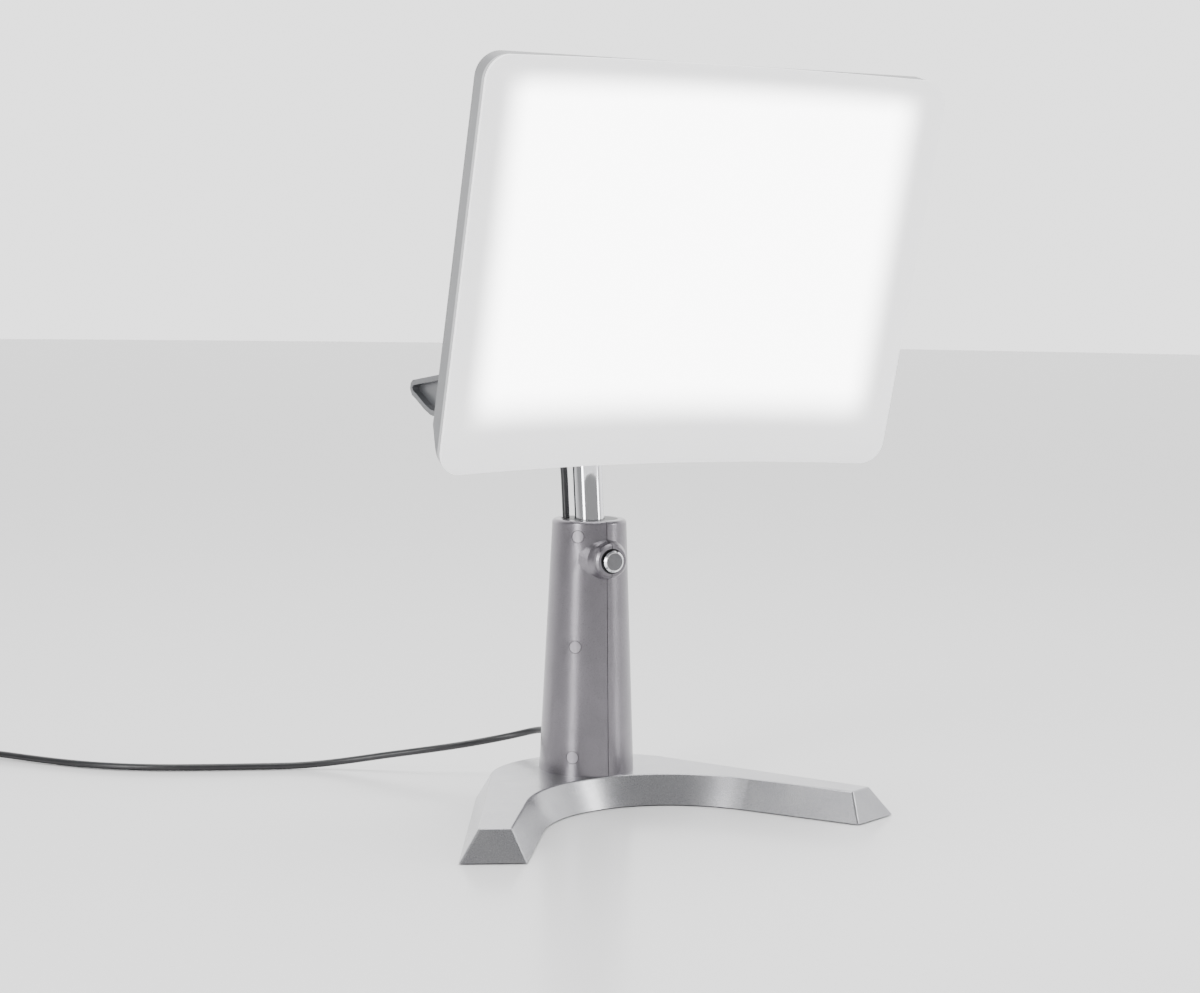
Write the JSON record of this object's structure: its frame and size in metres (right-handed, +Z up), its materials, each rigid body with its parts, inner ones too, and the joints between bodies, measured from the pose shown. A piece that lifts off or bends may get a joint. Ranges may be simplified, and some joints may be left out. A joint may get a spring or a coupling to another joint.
{
  "type": "light therapy lamp",
  "caption": "Wide tilting light panel on a height-adjustable mast with a crescent foot, for bright light at a desk.",
  "frame": {"origin": "on the floor under the middle of the column, on the bottom of the centre pad", "axes": "+Z up, -Y towards the user, +X to the right seen from the front"},
  "size_m": [0.7155, 0.6114, 0.5933],
  "materials": {
    "foot_metal": "satin silver paint",
    "steel": "zinc plated",
    "black_plastic": "fine grain",
    "rubber": "matt",
    "column_paint": "satin metallic grey",
    "cast_metal": "as cast",
    "cord": "satin black sheath",
    "brass": "bright",
    "button_metal": "bright rim with a brushed face",
    "chrome": "polished",
    "yoke_grey": "satin moulded",
    "shell_grey": "satin moulded",
    "white_cover": "opal",
    "reflector": "white enamel",
    "lamp_glass": "white phosphor",
    "white_plastic": "plain",
    "gear_case": "plain"
  },
  "bodies": {
    "base": {"foot_casting": "foot_metal", "foot_weight": "steel", "foot_cover": "black_plastic", "foot_pads": "rubber", "cover_screws": "steel", "column_left": "column_paint", "column_right": "column_paint", "screw_plugs": "column_paint", "shell_screws": "steel", "guide_post": "cast_metal", "column_bolts": "steel", "guide_bush": "black_plastic", "top_collar": "black_plastic", "lock_spring": "steel", "cord_gland": "rubber", "slack_lead": "cord", "mains_lead": "cord", "cord_coil": "cord", "cord_tie": "black_plastic", "plug_body": "cord", "plug_pins": "brass"},
    "button": {"height_button": "button_metal", "button_plunger": "black_plastic"},
    "lock_plate": {"lock_plate": "steel"},
    "mast": {"mast_tube": "chrome", "mast_end_bush": "black_plastic", "yoke": "yoke_grey", "clamp_screw": "steel", "lamp_lead": "cord", "lead_grommet": "rubber"},
    "lamp_head": {"rear_shell": "shell_grey", "head_screws": "steel", "front_cover": "white_cover", "reflector": "reflector", "lamp_1": "lamp_glass", "lamp_2": "lamp_glass", "lamp_3": "lamp_glass", "lamp_bases": "white_plastic", "lampholders": "white_plastic", "lamp_clips": "steel", "ballast": "gear_case", "ballast_feet": "rubber", "hinge_brackets": "steel", "pivot_bolts": "steel", "friction_washers": "black_plastic", "pivot_nuts": "steel", "switch_frame": "black_plastic"},
    "rocker": {"rocker": "black_plastic"}
  },
  "joints": [
    {"name": "mast_slide", "type": "slide", "parent": "base", "child": "mast", "axis": [0, 0.1226, 0.9925], "range_m": [-0.04, 0.08], "deforming": ["slack_lead"]},
    {"name": "head_tilt", "type": "hinge", "parent": "mast", "child": "lamp_head", "pos_m": [0, -0.07923, 0.34103], "axis": [1, 0, 0], "range_deg": [-20, 30]},
    {"name": "button_press", "type": "slide", "parent": "base", "child": "button", "axis": [0, 1, 0], "range_m": [0, 0.003], "stiffness_N_per_m": 900, "springref_m": -0.002},
    {"name": "lock_plate_tilt", "type": "hinge", "parent": "base", "child": "lock_plate", "pos_m": [0, 0.01301, 0.19049], "axis": [1, 0, 0], "range_deg": [0, 4], "deforming": ["lock_spring"]},
    {"name": "switch_rock", "type": "hinge", "parent": "lamp_head", "child": "rocker", "pos_m": [0.062, -0.07939, 0.36171], "axis": [0, -0.261, 0.9653], "range_deg": [-9, 9]}
  ],
  "couplings": [
    {"joint": "lock_plate_tilt", "follows": "button_press", "rad_per_m": 22}
  ]
}
